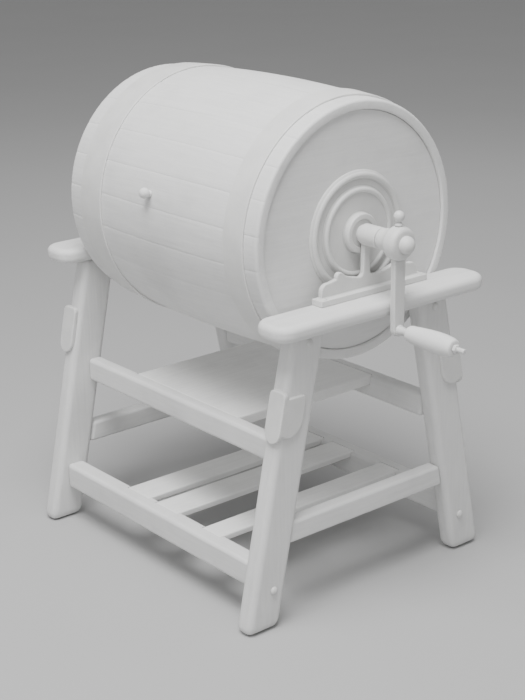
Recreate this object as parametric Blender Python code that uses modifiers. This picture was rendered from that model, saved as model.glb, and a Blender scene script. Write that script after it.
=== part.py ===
"""Barrel butter churn: a coopered barrel on two axle stubs in a four-legged stand, turned by a crank.

Metres, +Z up, feet on z = 0.  The barrel's axis runs along Y and the crank is at the front, towards -Y.
Opens with:  blender --background --python part.py
"""

import math

import bmesh
import bpy
from mathutils import Matrix, Vector

# ---------------------------------------------------------------- driving dimensions

GAP = 0.0003                # left between pieces that touch
ENDS = {"front": -1, "back": 1}
SIDES = {"left": -1, "right": 1}

AXLE_Z = 0.724              # height of the barrel's axis
AXLE_X = 0.010              # the axis, its brackets and the top rails sit a little right of the legs' middle
BARREL_HALF = 0.301         # half the barrel's length
CHIME_R = 0.2495            # outer radius at the barrel's ends
BILGE = 0.013               # how much fatter the barrel is half way along
STAVE_COUNT = 24
STAVE_T = 0.020
SEAM_DEPTH = 0.0014         # of the open seams between the staves' outer faces
SEAM_ANGLE = math.radians(0.30)
CHAMFER = 0.004
HOOP_T = 0.0035
HOOP_SPANS = {"front": (0.216, 0.268), "back": (0.175, 0.250)}

HEAD_OUT = 0.295            # outer face of a head, from the middle of the barrel
HEAD_T = 0.018
HEAD_TONGUE = 0.008
CROZE_DEPTH = 0.0045

HATCH_HALF = 0.130          # half the hatch's length along the barrel
HATCH_ANGLE = math.radians(22)
HATCH_CLEAR = 0.005         # all round the lid, for its seal

SHAFT_R = 0.013
BUSH_BORE_R = 0.0131
BUSH_R = 0.0166
EYE_R = 0.0205
HUB_OUT = 0.3155            # outer face of the hub collar
SHOULDER_OUT = 0.3198
BUSH_SPAN = (0.3205, 0.3660)

CRANK_SPAN = (0.3663, 0.4265)
CRANK_BOSS_R = 0.032
CRANK_ARM_Y = 0.4095
CRANK_ARM_T = 0.012
CRANK_THROW = 0.167
GRIP_SPAN = (0.4415, 0.5560)
PIN_TIP = 0.581
PIN_R = 0.006
BALL_NUT_R = 0.0170
BALL_NUT_CENTRE = 0.4290

RAIL_Z = 0.5785             # underside of the top rails
RAIL_T = 0.031
RAIL_W = 0.090
RAIL_LEN = 0.540
RAIL_Y = 0.350

LEG_W = 0.078
LEG_T = 0.042
LEG_Y = 0.338
FOOT_X = 0.280
LEG_SLOPE = 0.2074          # sideways run for each metre of height

UPPER_RAIL = {"x": 0.191, "z": 0.309, "t": 0.032, "h": 0.050}
LOWER_RAIL = {"x": 0.255, "z": 0.0744, "t": 0.040, "h": 0.055}
TENON = 0.020
STRETCHER = {"z": 0.162, "y": 0.336, "t": 0.032, "h": 0.044}
SHELF_T = 0.022
SHELF_HALF = 0.1675
SHELF_LAP = 0.008
SLAT_T = 0.014
SLAT_LAP = 0.013
SLATS = {"back": (0.053, 0.126), "middle": (-0.046, 0.027), "front": (-0.187, -0.130)}

BASE_T = 0.012
BASE_SPAN = (0.3135, 0.3420)
BRACKET_PLATE_T = 0.010
BRACKET_Y = 0.322
BRACKET_HALF = 0.138
POST_SHIFT = 0.010          # the bracket's middle is this far right of its post

ROUND = 48                  # sides of the large turned pieces
SHAFT_ROUND = 24
SMALL_ROUND = 12

FRONT_REACH = PIN_TIP
BACK_REACH = RAIL_Y + RAIL_W / 2
CENTRE_Y = (FRONT_REACH - BACK_REACH) / 2   # puts the origin under the middle of the whole churn

# ---------------------------------------------------------------- scene and materials

for old in list(bpy.data.objects):
    bpy.data.objects.remove(old, do_unlink=True)


def new_collection(name):
    collection = bpy.data.collections.new(name)
    bpy.context.scene.collection.children.link(collection)
    return collection


PARTS = new_collection("butter_churn")
CUTTERS = new_collection("cutters")

ROOT = bpy.data.objects.new("churn_frame", None)
ROOT.location = (0, CENTRE_Y, 0)
PARTS.objects.link(ROOT)

LOOKS = {
    "painted_oak": ((0.70, 0.69, 0.66), 0.60, 0.0),
    "painted_board": ((0.72, 0.71, 0.68), 0.62, 0.0),
    "hoop_iron": ((0.62, 0.62, 0.61), 0.42, 0.3),
    "cast_iron": ((0.58, 0.58, 0.57), 0.48, 0.3),
    "bright_steel": ((0.63, 0.63, 0.64), 0.30, 0.9),
    "bronze": ((0.60, 0.50, 0.32), 0.35, 0.9),
    "turned_beech": ((0.73, 0.70, 0.65), 0.50, 0.0),
    "pale_rubber": ((0.55, 0.54, 0.51), 0.75, 0.0),
}


def make_material(name, look):
    """Each piece gets a material of its own, from one of the shared looks."""
    colour, roughness, metallic = LOOKS[look]
    material = bpy.data.materials.new(name)
    material.use_nodes = True
    shader = material.node_tree.nodes["Principled BSDF"]
    shader.inputs["Base Color"].default_value = (*colour, 1)
    shader.inputs["Roughness"].default_value = roughness
    shader.inputs["Metallic"].default_value = metallic
    material.diffuse_color = (*colour, 1)
    return material


# ---------------------------------------------------------------- building blocks

def place(name, data, look, parent=None, matrix=Matrix()):
    """Link a finished mesh or curve as one named piece of the churn."""
    piece = bpy.data.objects.new(name, data)
    PARTS.objects.link(piece)
    piece.parent = parent or ROOT
    piece.matrix_local = matrix
    data.materials.clear()
    data.materials.append(make_material(name, look))
    return piece


def place_cutter(name, data, matrix=Matrix()):
    cutter = bpy.data.objects.new(name, data)
    CUTTERS.objects.link(cutter)
    cutter.parent = ROOT
    cutter.matrix_local = matrix
    cutter.hide_render = True
    cutter.display_type = "WIRE"
    return cutter


def boolean(piece, tool, operation="DIFFERENCE"):
    modifier = piece.modifiers.new(tool.name, "BOOLEAN")
    modifier.operation = operation
    modifier.solver = "EXACT"
    modifier.object = tool


def soften(piece, width, segments=2, angle=40):
    """Round the edges that are sharper than the angle."""
    modifier = piece.modifiers.new("rounded_edges", "BEVEL")
    modifier.width = width
    modifier.segments = segments
    modifier.limit_method = "ANGLE"
    modifier.angle_limit = math.radians(angle)


def finish_mesh(mesh, bm, smooth=None):
    bmesh.ops.recalc_face_normals(bm, faces=bm.faces)
    bm.to_mesh(mesh)
    bm.free()
    if smooth is not None:
        mesh.shade_smooth()
        mesh.set_sharp_from_angle(angle=math.radians(smooth))
    return mesh


def box_mesh(name, low, high, shape=None):
    """A box between two corners; shape maps each corner to its final place."""
    bm = bmesh.new()
    bmesh.ops.create_cube(bm, size=1)
    low, high = Vector(low), Vector(high)
    for vert in bm.verts:
        vert.co = Vector((a + (c + 0.5) * (b - a) for a, b, c in zip(low, high, vert.co)))
        if shape:
            vert.co = shape(vert.co)
    return finish_mesh(bpy.data.meshes.new(name), bm)


def outline_mesh(name, points, thickness, smooth=40):
    """A flat outline in X and Y, thickened evenly to both sides of z = 0."""
    curve = bpy.data.curves.new(name, "CURVE")
    curve.dimensions = "2D"
    curve.fill_mode = "BOTH"
    curve.extrude = thickness / 2
    spline = curve.splines.new("POLY")
    spline.points.add(len(points) - 1)
    for point, (x, y) in zip(spline.points, points):
        point.co = (x, y, 0, 1)
    spline.use_cyclic_u = True
    return curve_to_mesh(curve, smooth)


def curve_to_mesh(curve, smooth=40):
    """The curve as a closed mesh, with its caps welded on."""
    holder = bpy.data.objects.new(curve.name, curve)
    CUTTERS.objects.link(holder)
    mesh = evaluated_mesh(holder)
    bpy.data.objects.remove(holder)
    bm = bmesh.new()
    bm.from_mesh(mesh)
    bmesh.ops.remove_doubles(bm, verts=bm.verts, dist=0.00002)
    return finish_mesh(mesh, bm, smooth)


def evaluated_mesh(piece):
    graph = bpy.context.evaluated_depsgraph_get()
    graph.update()
    return bpy.data.meshes.new_from_object(piece.evaluated_get(graph))


def turned_mesh(name, profile, steps=ROUND, closed=False, smooth=35):
    """Turn a profile of (radius, height) points round Z.

    An open profile runs down the outer side from the axis to the axis; a closed one is a ring.
    """
    mesh = bpy.data.meshes.new(name)
    count = len(profile)
    edges = [(i, (i + 1) % count) for i in range(count if closed else count - 1)]
    mesh.from_pydata([(r, 0, z) for r, z in profile], edges, [])
    holder = bpy.data.objects.new(name, mesh)
    CUTTERS.objects.link(holder)
    screw = holder.modifiers.new("turn", "SCREW")
    screw.steps = screw.render_steps = steps
    screw.use_merge_vertices = True
    screw.merge_threshold = 0.00002
    result = evaluated_mesh(holder)
    bpy.data.objects.remove(holder)
    bm = bmesh.new()
    bm.from_mesh(result)
    bmesh.ops.remove_doubles(bm, verts=bm.verts, dist=0.00002)
    return finish_mesh(result, bm, smooth)


def ring_profile(inner, outer, low, high):
    return [(outer, high), (outer, low), (inner, low), (inner, high)]


def rod_cutter(name, radius, top, bottom, matrix, steps=SHAFT_ROUND):
    profile = [(0, top), (radius, top), (radius, bottom), (0, bottom)]
    return place_cutter(name, turned_mesh(name, profile, steps), matrix)


def outward(end, z=AXLE_Z):
    """Local Z points away from the barrel's middle, towards the named end, on the barrel's axis."""
    return Matrix.Translation((AXLE_X, 0, z)) @ Matrix.Rotation(-ENDS[end] * math.pi / 2, 4, "X")


def axle(matrix=Matrix()):
    """From the barrel's own frame, whose origin is on the axis half way along, to the churn's frame."""
    return Matrix.Translation((AXLE_X, 0, AXLE_Z)) @ matrix


def upright(x=0.0, y=0.0, z=0.0):
    """Local X and Y become X and Z: an outline stands up, seen from the front."""
    return Matrix.Translation((x, y, z)) @ Matrix.Rotation(math.pi / 2, 4, "X")


def join_meshes(name, pieces):
    """A cutter's mesh from (mesh, matrix) pairs, each staying a separate solid."""
    bm = bmesh.new()
    for mesh, matrix in pieces:
        before = len(bm.verts)
        bm.from_mesh(mesh)
        bm.verts.ensure_lookup_table()
        bmesh.ops.transform(bm, matrix=matrix, verts=bm.verts[before:])
    return finish_mesh(bpy.data.meshes.new(name), bm)


def arc(cx, cy, radius, start, stop, count):
    """Points on an arc, angles in degrees."""
    angles = [math.radians(start + (stop - start) * i / (count - 1)) for i in range(count)]
    return [(cx + radius * math.cos(a), cy + radius * math.sin(a)) for a in angles]


def dome(radius, height, base, count=3):
    """The outer side of a shallow dome, from its top on the axis down to its rim."""
    angles = [math.pi / 2 * (1 - i / (count - 1)) for i in range(count)]
    return [(radius * math.cos(a), base + height * math.sin(a)) for a in angles]


# ---------------------------------------------------------------- fasteners

def fasteners(name, spots, head_r, head_h, shank_r, length, through):
    """Equal domed screws, one for each named spot, and their holes in the pieces they pass through."""
    profile = dome(head_r, head_h, 0) + [(shank_r, 0), (shank_r, -length), (0, -length)]
    screw = turned_mesh(name, profile, SMALL_ROUND)
    hole_r = shank_r + 2 * GAP
    hole_profile = [(0, GAP), (hole_r, GAP), (hole_r, -length - GAP), (0, -length - GAP)]
    hole = turned_mesh(name + "_hole", hole_profile, SMALL_ROUND)
    lift = Matrix.Translation((0, 0, GAP))
    for spot, matrix in spots.items():
        place(f"{name}_{spot}", screw.copy(), "cast_iron", matrix=matrix @ lift)
    mesh = join_meshes(name + "_holes", [(hole, matrix) for matrix in spots.values()])
    holes = place_cutter(name + "_holes", mesh)
    for piece in through:
        boolean(piece, holes)


def facing(end, x, y, z):
    """At a point of an end's outer side, with local Z pointing out of it."""
    return Matrix.Translation((x, ENDS[end] * y, z)) @ Matrix.Rotation(-ENDS[end] * math.pi / 2, 4, "X")


# ---------------------------------------------------------------- stand

def leg_centre(z):
    return FOOT_X - LEG_SLOPE * z


def leg_space(side, end):
    """An upright leg round x = 0 leans to its place; local +X is outward and +Y is to the end's outside."""
    sx, sy = SIDES[side], ENDS[end]
    lean = Matrix.Identity(4)
    lean[0][0], lean[0][2], lean[0][3] = sx, -sx * LEG_SLOPE, sx * FOOT_X
    lean[1][1], lean[1][3] = sy, sy * LEG_Y
    return lean


def leg(side, end):
    space = leg_space(side, end)
    half = LEG_W / 2
    name = f"leg_{end}_{side}"
    mesh = box_mesh(name, (-half, -LEG_T / 2, 0), (half, LEG_T / 2, RAIL_Z - GAP), lambda co: space @ co)
    piece = place(name, mesh, "painted_oak")
    soften(piece, 0.006, 2)
    return piece


def rail_outline():
    """A plank in plan with rounded corners."""
    corner, half_x, half_y = 0.036, RAIL_LEN / 2, RAIL_W / 2
    points = []
    for turn, (sx, sy) in enumerate([(1, 1), (-1, 1), (-1, -1), (1, -1)]):
        centre = (sx * (half_x - corner), sy * (half_y - corner))
        points += arc(*centre, corner, 90 * turn, 90 * turn + 90, 6)
    return points


def top_rail(end):
    name = f"{end}_top_rail"
    matrix = Matrix.Translation((AXLE_X, ENDS[end] * RAIL_Y, RAIL_Z + RAIL_T / 2))
    piece = place(name, outline_mesh(name, rail_outline(), RAIL_T), "painted_oak", matrix=matrix)
    soften(piece, 0.008, 2)
    return piece


def leg_tenons(rails, legs):
    """Each leg's top has a tenon let into the top rail."""
    height = 0.018
    for (side, end), piece in legs.items():
        x, y = SIDES[side] * leg_centre(RAIL_Z), ENDS[end] * (LEG_Y + 0.002)
        low = Vector((x - 0.018, y - 0.011, RAIL_Z - 0.03))
        high = Vector((x + 0.018, y + 0.011, RAIL_Z + height))
        tenon = place_cutter(f"tenon_{end}_{side}", box_mesh("tenon", low, high))
        boolean(piece, tenon, "UNION")
        slack = Vector((GAP, GAP, GAP))
        socket = box_mesh("socket", low - slack, high + slack)
        boolean(rails[end], place_cutter(f"socket_{end}_{side}", socket))


def tenoned_rail(name, low, high, core_low, core_high, shape=None, shape_core=None):
    """A rail with rounded edges, and a slimmer core that runs on as a tenon at each end."""
    piece = place(name, box_mesh(name, low, high, shape), "painted_oak")
    soften(piece, 0.004, 2)
    core = place_cutter(name + "_core", box_mesh(name + "_core", core_low, core_high, shape_core))
    boolean(piece, core, "UNION")
    return piece


def mortise(legs, name, low, high):
    slack = Vector((GAP, GAP, GAP))
    socket = place_cutter(name, box_mesh(name, Vector(low) - slack, Vector(high) + slack))
    for piece in legs:
        boolean(piece, socket)


def side_rail(side, level, spec, legs):
    """A rail from the front leg to the back leg on one side."""
    sx = SIDES[side]
    reach = LEG_Y - LEG_T / 2 - GAP
    x, z, t, h = sx * spec["x"], spec["z"], spec["t"], spec["h"]
    low, high = (x - t / 2, -reach, z), (x + t / 2, reach, z + h)
    core_x, core_z = 0.009, 0.010
    core_low = (x - core_x, -reach - TENON, z + core_z)
    core_high = (x + core_x, reach + TENON, z + h - core_z)
    name = f"{level}_side_rail_{side}"
    piece = tenoned_rail(name, low, high, core_low, core_high)
    mortise([legs[side, "front"], legs[side, "back"]], name + "_mortise", core_low, core_high)
    return piece


def stretcher(end, legs):
    """A rail across the stand; its shoulders follow the slope of the legs."""
    spec = STRETCHER
    y, z, t, h = ENDS[end] * spec["y"], spec["z"], spec["t"], spec["h"]

    def shoulder(co):
        inner = leg_centre(co.z) - LEG_W / 2 - GAP
        return Vector((math.copysign(inner, co.x), co.y, co.z))

    name = f"{end}_stretcher"
    core_x = leg_centre(z + h / 2) - LEG_W / 2 + TENON
    core_low, core_high = (-core_x, y - 0.008, z + 0.009), (core_x, y + 0.008, z + h - 0.009)
    piece = tenoned_rail(name, (-1, y - t / 2, z), (1, y + t / 2, z + h), core_low, core_high, shoulder)
    mortise([legs["left", end], legs["right", end]], name + "_mortise", core_low, core_high)
    return piece


def board_between(name, rails, spec, thickness, lap, span):
    """A board across the stand, let into the top inner edges of a pair of side rails."""
    top = spec["z"] + spec["h"]
    inner = spec["x"] - spec["t"] / 2
    reach = inner + lap
    low, high = (-reach + GAP, span[0], top - thickness), (reach - GAP, span[1], top)
    piece = place(name, box_mesh(name, low, high), "painted_board")
    soften(piece, 0.003, 2)
    for side, rail in rails.items():
        sx = SIDES[side]
        xs = sorted((sx * (inner - 0.002), sx * reach))
        seat_low = (xs[0], span[0] - GAP, top - thickness - GAP)
        seat = box_mesh("seat", seat_low, (xs[1], span[1] + GAP, top + 0.01))
        boolean(rail, place_cutter(f"seat_{name}_{side}", seat))
    return piece


def corner_plate(side, end):
    """A cast plate round the leg's outer corner, with a round lower end on each face."""
    space = leg_space(side, end)
    name = f"corner_plate_{end}_{side}"
    half_w, half_t = LEG_W / 2 + GAP, LEG_T / 2 + GAP
    side_t, face_t, inset = 0.007, 0.006, 0.002
    side_w, face_w = 0.041, 0.056

    side_turn = Matrix(((0, 0, 1, half_w + side_t / 2), (1, 0, 0, half_t + face_t - inset - side_w / 2),
                        (0, 1, 0, 0), (0, 0, 0, 1)))
    side_lobe = outline_mesh(name, pendant(side_w, 0.377, 0.474), side_t)
    piece = place(name, join_meshes(name, [(side_lobe, space @ side_turn)]), "cast_iron")

    face_turn = Matrix(((1, 0, 0, half_w + side_t - inset - face_w / 2), (0, 0, 1, half_t + face_t / 2),
                        (0, 1, 0, 0), (0, 0, 0, 1)))
    face_lobe = outline_mesh(name + "_face", pendant(face_w, 0.386, 0.462), face_t)
    face = join_meshes(name + "_face", [(face_lobe, space @ face_turn)])
    boolean(piece, place_cutter(name + "_face", face), "UNION")
    return piece


def pendant(width, bottom, top):
    """A plate outline with a half-round lower end and small upper corners."""
    half, corner = width / 2, 0.006
    points = arc(half - corner, top - corner, corner, 0, 90, 4)
    points += arc(-half + corner, top - corner, corner, 90, 180, 4)
    points += arc(0, bottom + half, half, 180, 360, 13)
    return points


def build_stand():
    rails = {end: top_rail(end) for end in ENDS}
    legs = {(side, end): leg(side, end) for side in SIDES for end in ENDS}
    leg_tenons(rails, legs)
    upper = {side: side_rail(side, "upper", UPPER_RAIL, legs) for side in SIDES}
    lower = {side: side_rail(side, "lower", LOWER_RAIL, legs) for side in SIDES}
    for end in ENDS:
        stretcher(end, legs)
    board_between("shelf_board", upper, UPPER_RAIL, SHELF_T, SHELF_LAP, (-SHELF_HALF, SHELF_HALF))
    for name, span in SLATS.items():
        board_between(f"{name}_slat", lower, LOWER_RAIL, SLAT_T, SLAT_LAP, span)
    for side, end in legs:
        corner_plate(side, end)
    leg_face = LEG_Y + LEG_T / 2
    top_z, foot_z = 0.558, 0.083
    heads = {f"{end}_{side}": facing(end, SIDES[side] * leg_centre(top_z), leg_face, top_z)
             for side, end in legs}
    fasteners("leg_top_screw", heads, 0.0075, 0.005, 0.003, 0.036, legs.values())
    feet = {f"{end}_{side}": facing(end, SIDES[side] * LOWER_RAIL["x"], leg_face, foot_z)
            for side, end in legs}
    fasteners("foot_bolt", feet, 0.0085, 0.006, 0.004, 0.070, [*legs.values(), *lower.values()])
    return rails


# ---------------------------------------------------------------- bearings

def bracket_side(shift):
    """One side of the bracket's outline, from its foot to the post, with heights above its lower edge.

    The shift is how far the post stands towards this side of the bracket's middle.
    """
    saddle_r, saddle_low, post = 0.184, 0.0225, shift + 0.0185
    points = [(0.125, 0)]
    points += arc(0.1085, 0.0115, 0.0165, -5, 100, 5)
    points += [(0.0925, 0.0300)]
    points += arc(0.0775, 0.0340, 0.009, -15, 140, 5)
    for share in (0, 0.33, 0.67, 1):
        x = 0.062 + (post + 0.010 - 0.062) * share
        points.append((x, saddle_low + saddle_r - math.sqrt(saddle_r ** 2 - x ** 2)))
    points += arc(post, 0.0340, 0.010, 270, 180, 4)
    return points


def bracket(end):
    """A scalloped bearing bracket on a long foot, with an eye round the shaft's bush."""
    sy, foot_z, middle = ENDS[end], RAIL_Z + RAIL_T + GAP, AXLE_X + POST_SHIFT
    name = f"{end}_bearing_bracket"
    ys = sorted(sy * y for y in BASE_SPAN)
    left, right = middle - BRACKET_HALF, middle + BRACKET_HALF
    base = box_mesh(name, (left, ys[0], foot_z), (right, ys[1], foot_z + BASE_T))
    piece = place(name, base, "cast_iron")
    soften(piece, 0.003, 2)

    plate_z = foot_z + BASE_T - 0.002
    post_top = AXLE_Z - (EYE_R + BUSH_R) / 2 - plate_z
    outline = bracket_side(-POST_SHIFT) + [(0.0075 - POST_SHIFT, post_top), (-0.0075 - POST_SHIFT, post_top)]
    outline += [(-x, z) for x, z in reversed(bracket_side(POST_SHIFT))]
    plate = outline_mesh("plate", outline, BRACKET_PLATE_T)
    plate = place_cutter(name + "_plate", plate, upright(middle, sy * BRACKET_Y, plate_z))
    soften(plate, 0.0015, 1)
    boolean(piece, plate, "UNION")

    low, high = BUSH_SPAN
    bore = BUSH_R + GAP
    profile = [(bore, high - GAP), (EYE_R - 0.001, high - GAP), (EYE_R, high - 0.0015),
               (EYE_R, low + 0.0015), (EYE_R - 0.001, low + GAP), (bore, low + GAP)]
    eye = turned_mesh("eye", profile, SHAFT_ROUND, closed=True)
    boolean(piece, place_cutter(name + "_eye", eye, outward(end)), "UNION")

    bush = turned_mesh(f"{end}_bush", ring_profile(BUSH_BORE_R, BUSH_R, low, high), SHAFT_ROUND, closed=True)
    place(f"{end}_bush", bush, "bronze", matrix=outward(end))
    return piece


def build_bearings(rails):
    brackets = [bracket(end) for end in ENDS]
    top = RAIL_Z + RAIL_T + GAP + BASE_T
    spots = {f"{end}_{side}": Matrix.Translation((AXLE_X + POST_SHIFT + sx * 0.124, sy * 0.3345, top))
             for end, sy in ENDS.items() for side, sx in SIDES.items()}
    fasteners("bracket_screw", spots, 0.0050, 0.0020, 0.0025, 0.022, [*brackets, *rails.values()])


# ---------------------------------------------------------------- barrel

TONGUE_Y = HEAD_OUT - HEAD_T / 2


def stave_radius(y):
    """Outer radius of the staves at a distance y from the middle."""
    return CHIME_R + BILGE * (1 - (y / BARREL_HALF) ** 2)


GROOVE_R = stave_radius(TONGUE_Y) - STAVE_T + CROZE_DEPTH


def stave_section():
    """Section of a stave along the barrel, as (radius, y), with a groove for a head near each end."""
    points = [(CHIME_R - CHAMFER, BARREL_HALF), (stave_radius(BARREL_HALF - CHAMFER), BARREL_HALF - CHAMFER)]
    points += [(stave_radius(y), y) for y in (0.16, 0, -0.16)]
    points += [(r, -y) for r, y in reversed(points[:2])]
    half = HEAD_TONGUE / 2 + GAP
    wall = stave_radius(HEAD_OUT) - STAVE_T
    near = [(wall, BARREL_HALF), (wall, TONGUE_Y + half), (GROOVE_R, TONGUE_Y + half),
            (GROOVE_R, TONGUE_Y - half), (stave_radius(TONGUE_Y) - STAVE_T, TONGUE_Y - half)]
    middle = [(stave_radius(y) - STAVE_T, y) for y in (-0.12, 0.12)]
    return points + [(r, -y) for r, y in near] + middle + near[::-1]


def open_seams(mesh):
    """Turn the columns of a round barrel into staves: two flats each, and a narrow V between neighbours."""
    column = math.pi / STAVE_COUNT / 2
    shift = column - SEAM_ANGLE
    slide = {0: 0, 1: shift, 2: 0, 3: -shift}
    for vert in mesh.vertices:
        turn, radius = math.atan2(vert.co.y, vert.co.x), vert.co.to_2d().length
        place_in_stave = round(turn / column) % 4
        if place_in_stave == 2 and radius > CHIME_R - STAVE_T / 2:
            radius -= SEAM_DEPTH
        turn += slide[place_in_stave]
        vert.co.xy = radius * math.cos(turn), radius * math.sin(turn)
    return mesh


def hatch_wedge(name, clear):
    """The space between two radial planes under the barrel, taken in by the clearance on every side."""
    half_angle = HATCH_ANGLE - clear / (CHIME_R + BILGE - STAVE_T / 2)
    half_len = HATCH_HALF - clear
    bm = bmesh.new()
    start = Matrix.Rotation(math.pi / 2 - half_angle, 4, "Y")
    corners = [(0.20, -half_len), (0.20, half_len), (0.29, half_len), (0.29, -half_len)]
    verts = [bm.verts.new(start @ Vector((r, y, 0))) for r, y in corners]
    face = bm.faces.new(verts)
    bmesh.ops.spin(bm, geom=[face, *face.edges, *verts], cent=(0, 0, 0), axis=(0, 1, 0),
                   angle=2 * half_angle, steps=8, use_duplicate=False)
    mesh = finish_mesh(bpy.data.meshes.new(name), bm)
    return place_cutter(name, mesh, axle())


def build_staves(barrel):
    mesh = open_seams(turned_mesh("barrel_staves", stave_section(), 4 * STAVE_COUNT, closed=True, smooth=12))
    staves = place("barrel_staves", mesh, "painted_oak", barrel, barrel_end("back"))
    boolean(staves, hatch_wedge("hatch_opening", 0))
    return staves


def hoop(end, barrel):
    """A tapered flat hoop that follows the barrel's curve."""
    near, far = HOOP_SPANS[end]
    profile = [(stave_radius(y) + HOOP_T, y) for y in (far, near)]
    profile += [(stave_radius(y) + GAP, y) for y in (near, far)]
    mesh = turned_mesh(f"{end}_hoop", profile, closed=True)
    place(f"{end}_hoop", mesh, "hoop_iron", barrel, barrel_end(end))


def barrel_end(end):
    """From the barrel's own frame: local Z points out of the named end."""
    return Matrix.Rotation(-ENDS[end] * math.pi / 2, 4, "X")


def head(end, barrel):
    """A round head whose thin rim sits in the staves' groove."""
    body = stave_radius(HEAD_OUT) - STAVE_T - 0.001
    rim, half, hole = GROOVE_R - GAP, HEAD_TONGUE / 2, SHAFT_R + GAP
    back = HEAD_OUT - HEAD_T
    profile = [(body, HEAD_OUT), (body, TONGUE_Y + half), (rim, TONGUE_Y + half), (rim, TONGUE_Y - half),
               (body, TONGUE_Y - half), (body, back), (hole, back), (hole, HEAD_OUT)]
    mesh = turned_mesh(f"{end}_head", profile, closed=True)
    place(f"{end}_head", mesh, "painted_board", barrel, barrel_end(end))


def flange(end, barrel):
    """A cast flange with two raised rings round a shallow disc, and a hub collar."""
    face = HEAD_OUT + GAP
    plate, disc, ridge, bead = face + 0.0030, face + 0.0065, face + 0.0100, face + 0.0080
    hole = SHAFT_R + GAP
    profile = [(hole, HUB_OUT), (0.037, HUB_OUT), (0.038, disc), (0.0740, disc), (0.0775, ridge),
               (0.0835, ridge), (0.0880, plate), (0.1005, plate), (0.1050, bead), (0.1120, bead),
               (0.1175, plate), (0.1180, face), (hole, face)]
    mesh = turned_mesh(f"{end}_flange", profile, closed=True)
    place(f"{end}_flange", mesh, "cast_iron", barrel, barrel_end(end))


def shaft(end, barrel):
    """A shaft stub with a shoulder outside the flange and a nut inside the barrel."""
    tip = 0.4375 if end == "front" else 0.3845
    inner = HEAD_OUT - HEAD_T - 0.020
    profile = [(0, tip), (SHAFT_R - 0.001, tip), (SHAFT_R, tip - 0.001), (SHAFT_R, SHOULDER_OUT),
               (0.017, SHOULDER_OUT), (0.017, HUB_OUT + GAP), (SHAFT_R, HUB_OUT + GAP),
               (SHAFT_R, inner), (0, inner)]
    mesh = turned_mesh(f"{end}_shaft", profile, SHAFT_ROUND)
    place(f"{end}_shaft", mesh, "bright_steel", barrel, barrel_end(end))
    top = HEAD_OUT - HEAD_T - GAP
    nut = ring_profile(SHAFT_R + 2 * GAP, 0.026, top - 0.014, top)
    nut = turned_mesh(f"{end}_clamp_nut", nut, SMALL_ROUND, closed=True)
    place(f"{end}_clamp_nut", nut, "bright_steel", barrel, barrel_end(end))


def shaft_collar(barrel):
    """Holds the back shaft in its bearing."""
    low, high, outer = CRANK_SPAN[0], 0.3835, 0.020
    profile = [(outer - 0.0015, high), (outer, high - 0.0015), (outer, low), (SHAFT_R + GAP, low),
               (SHAFT_R + GAP, high)]
    mesh = turned_mesh("back_shaft_collar", profile, SHAFT_ROUND, closed=True)
    place("back_shaft_collar", mesh, "cast_iron", barrel, barrel_end("back"))


def breaker_boards(barrel):
    """Two boards stand in from the staves, either side of the hatch, with round holes for the cream."""
    reach, depth, board_t = HEAD_OUT - HEAD_T - 0.006, 0.075, 0.014
    outer = stave_radius(reach) - STAVE_T - 0.0015
    for side, degrees in {"left": 145, "right": 35}.items():
        name = f"breaker_board_{side}"
        turn = Matrix.Rotation(math.radians(degrees), 4, "Y")
        mesh = box_mesh(name, (outer - depth, -reach, -board_t / 2), (outer, reach, board_t / 2))
        board = place(name, mesh, "painted_board", barrel, turn)
        soften(board, 0.002, 1)
        for number, y in enumerate((-0.15, 0, 0.15)):
            spot = turn @ Matrix.Translation((outer - depth / 2, y, 0))
            boolean(board, rod_cutter(f"{name}_hole_{number}", 0.017, 0.03, -0.03, axle(spot), 16))


# ---------------------------------------------------------------- hatch and vent

def hatch_lid(lid, staves):
    """The lid is cut from the same staves, with room for its seal all round."""
    piece = place("hatch_lid", staves.data.copy(), "painted_oak", lid, barrel_end("back"))
    boolean(piece, hatch_wedge("hatch_lid_outline", HATCH_CLEAR), "INTERSECT")
    return piece


def hatch_handle(lid):
    """A bent rod handle whose feet go into the lid's middle stave."""
    rod_r, foot_y, bend = 0.004, 0.045, 0.010
    foot, top = stave_radius(foot_y) - 0.013, stave_radius(0) + 0.026
    turns = [math.pi / 8 * i for i in range(1, 5)]
    corner = [(top - bend + bend * math.sin(a), -foot_y + bend - bend * math.cos(a)) for a in turns]
    half = [(foot, -foot_y), (top - bend, -foot_y), *corner]
    route = half + [(r, -y) for r, y in reversed(half)]
    curve = round_wire("hatch_handle", [(0, y, -r) for r, y in route], rod_r)
    curve.use_fill_caps = True
    place("hatch_handle", curve_to_mesh(curve), "hoop_iron", lid)


def round_wire(name, route, radius):
    curve = bpy.data.curves.new(name, "CURVE")
    curve.dimensions = "3D"
    curve.bevel_depth = radius
    curve.bevel_resolution = 2
    spline = curve.splines.new("POLY")
    spline.points.add(len(route) - 1)
    for point, spot in zip(spline.points, route):
        point.co = (*spot, 1)
    return curve


def hatch_seal(lid):
    """A rubber cord round the lid's edge, in the clearance between lid and staves."""
    clear, mid_r = HATCH_CLEAR / 2, CHIME_R + BILGE - STAVE_T / 2
    half_len, half_angle = HATCH_HALF - clear, HATCH_ANGLE - clear / mid_r
    steps = 6
    shares = [2 * i / steps - 1 for i in range(steps + 1)]
    ends = [(half_angle * share, -half_len) for share in shares]
    sides = [(half_angle, half_len * share) for share in shares[1:-1]]
    half = ends + sides
    loop = [(angle, y, stave_radius(y) - STAVE_T / 2) for angle, y in half + [(-a, -y) for a, y in half]]
    route = [(r * math.sin(angle), y, -r * math.cos(angle)) for angle, y, r in loop]
    curve = round_wire("hatch_seal", route, clear - GAP)
    curve.splines[0].use_cyclic_u = True
    place("hatch_seal", curve_to_mesh(curve), "pale_rubber", lid)


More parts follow.
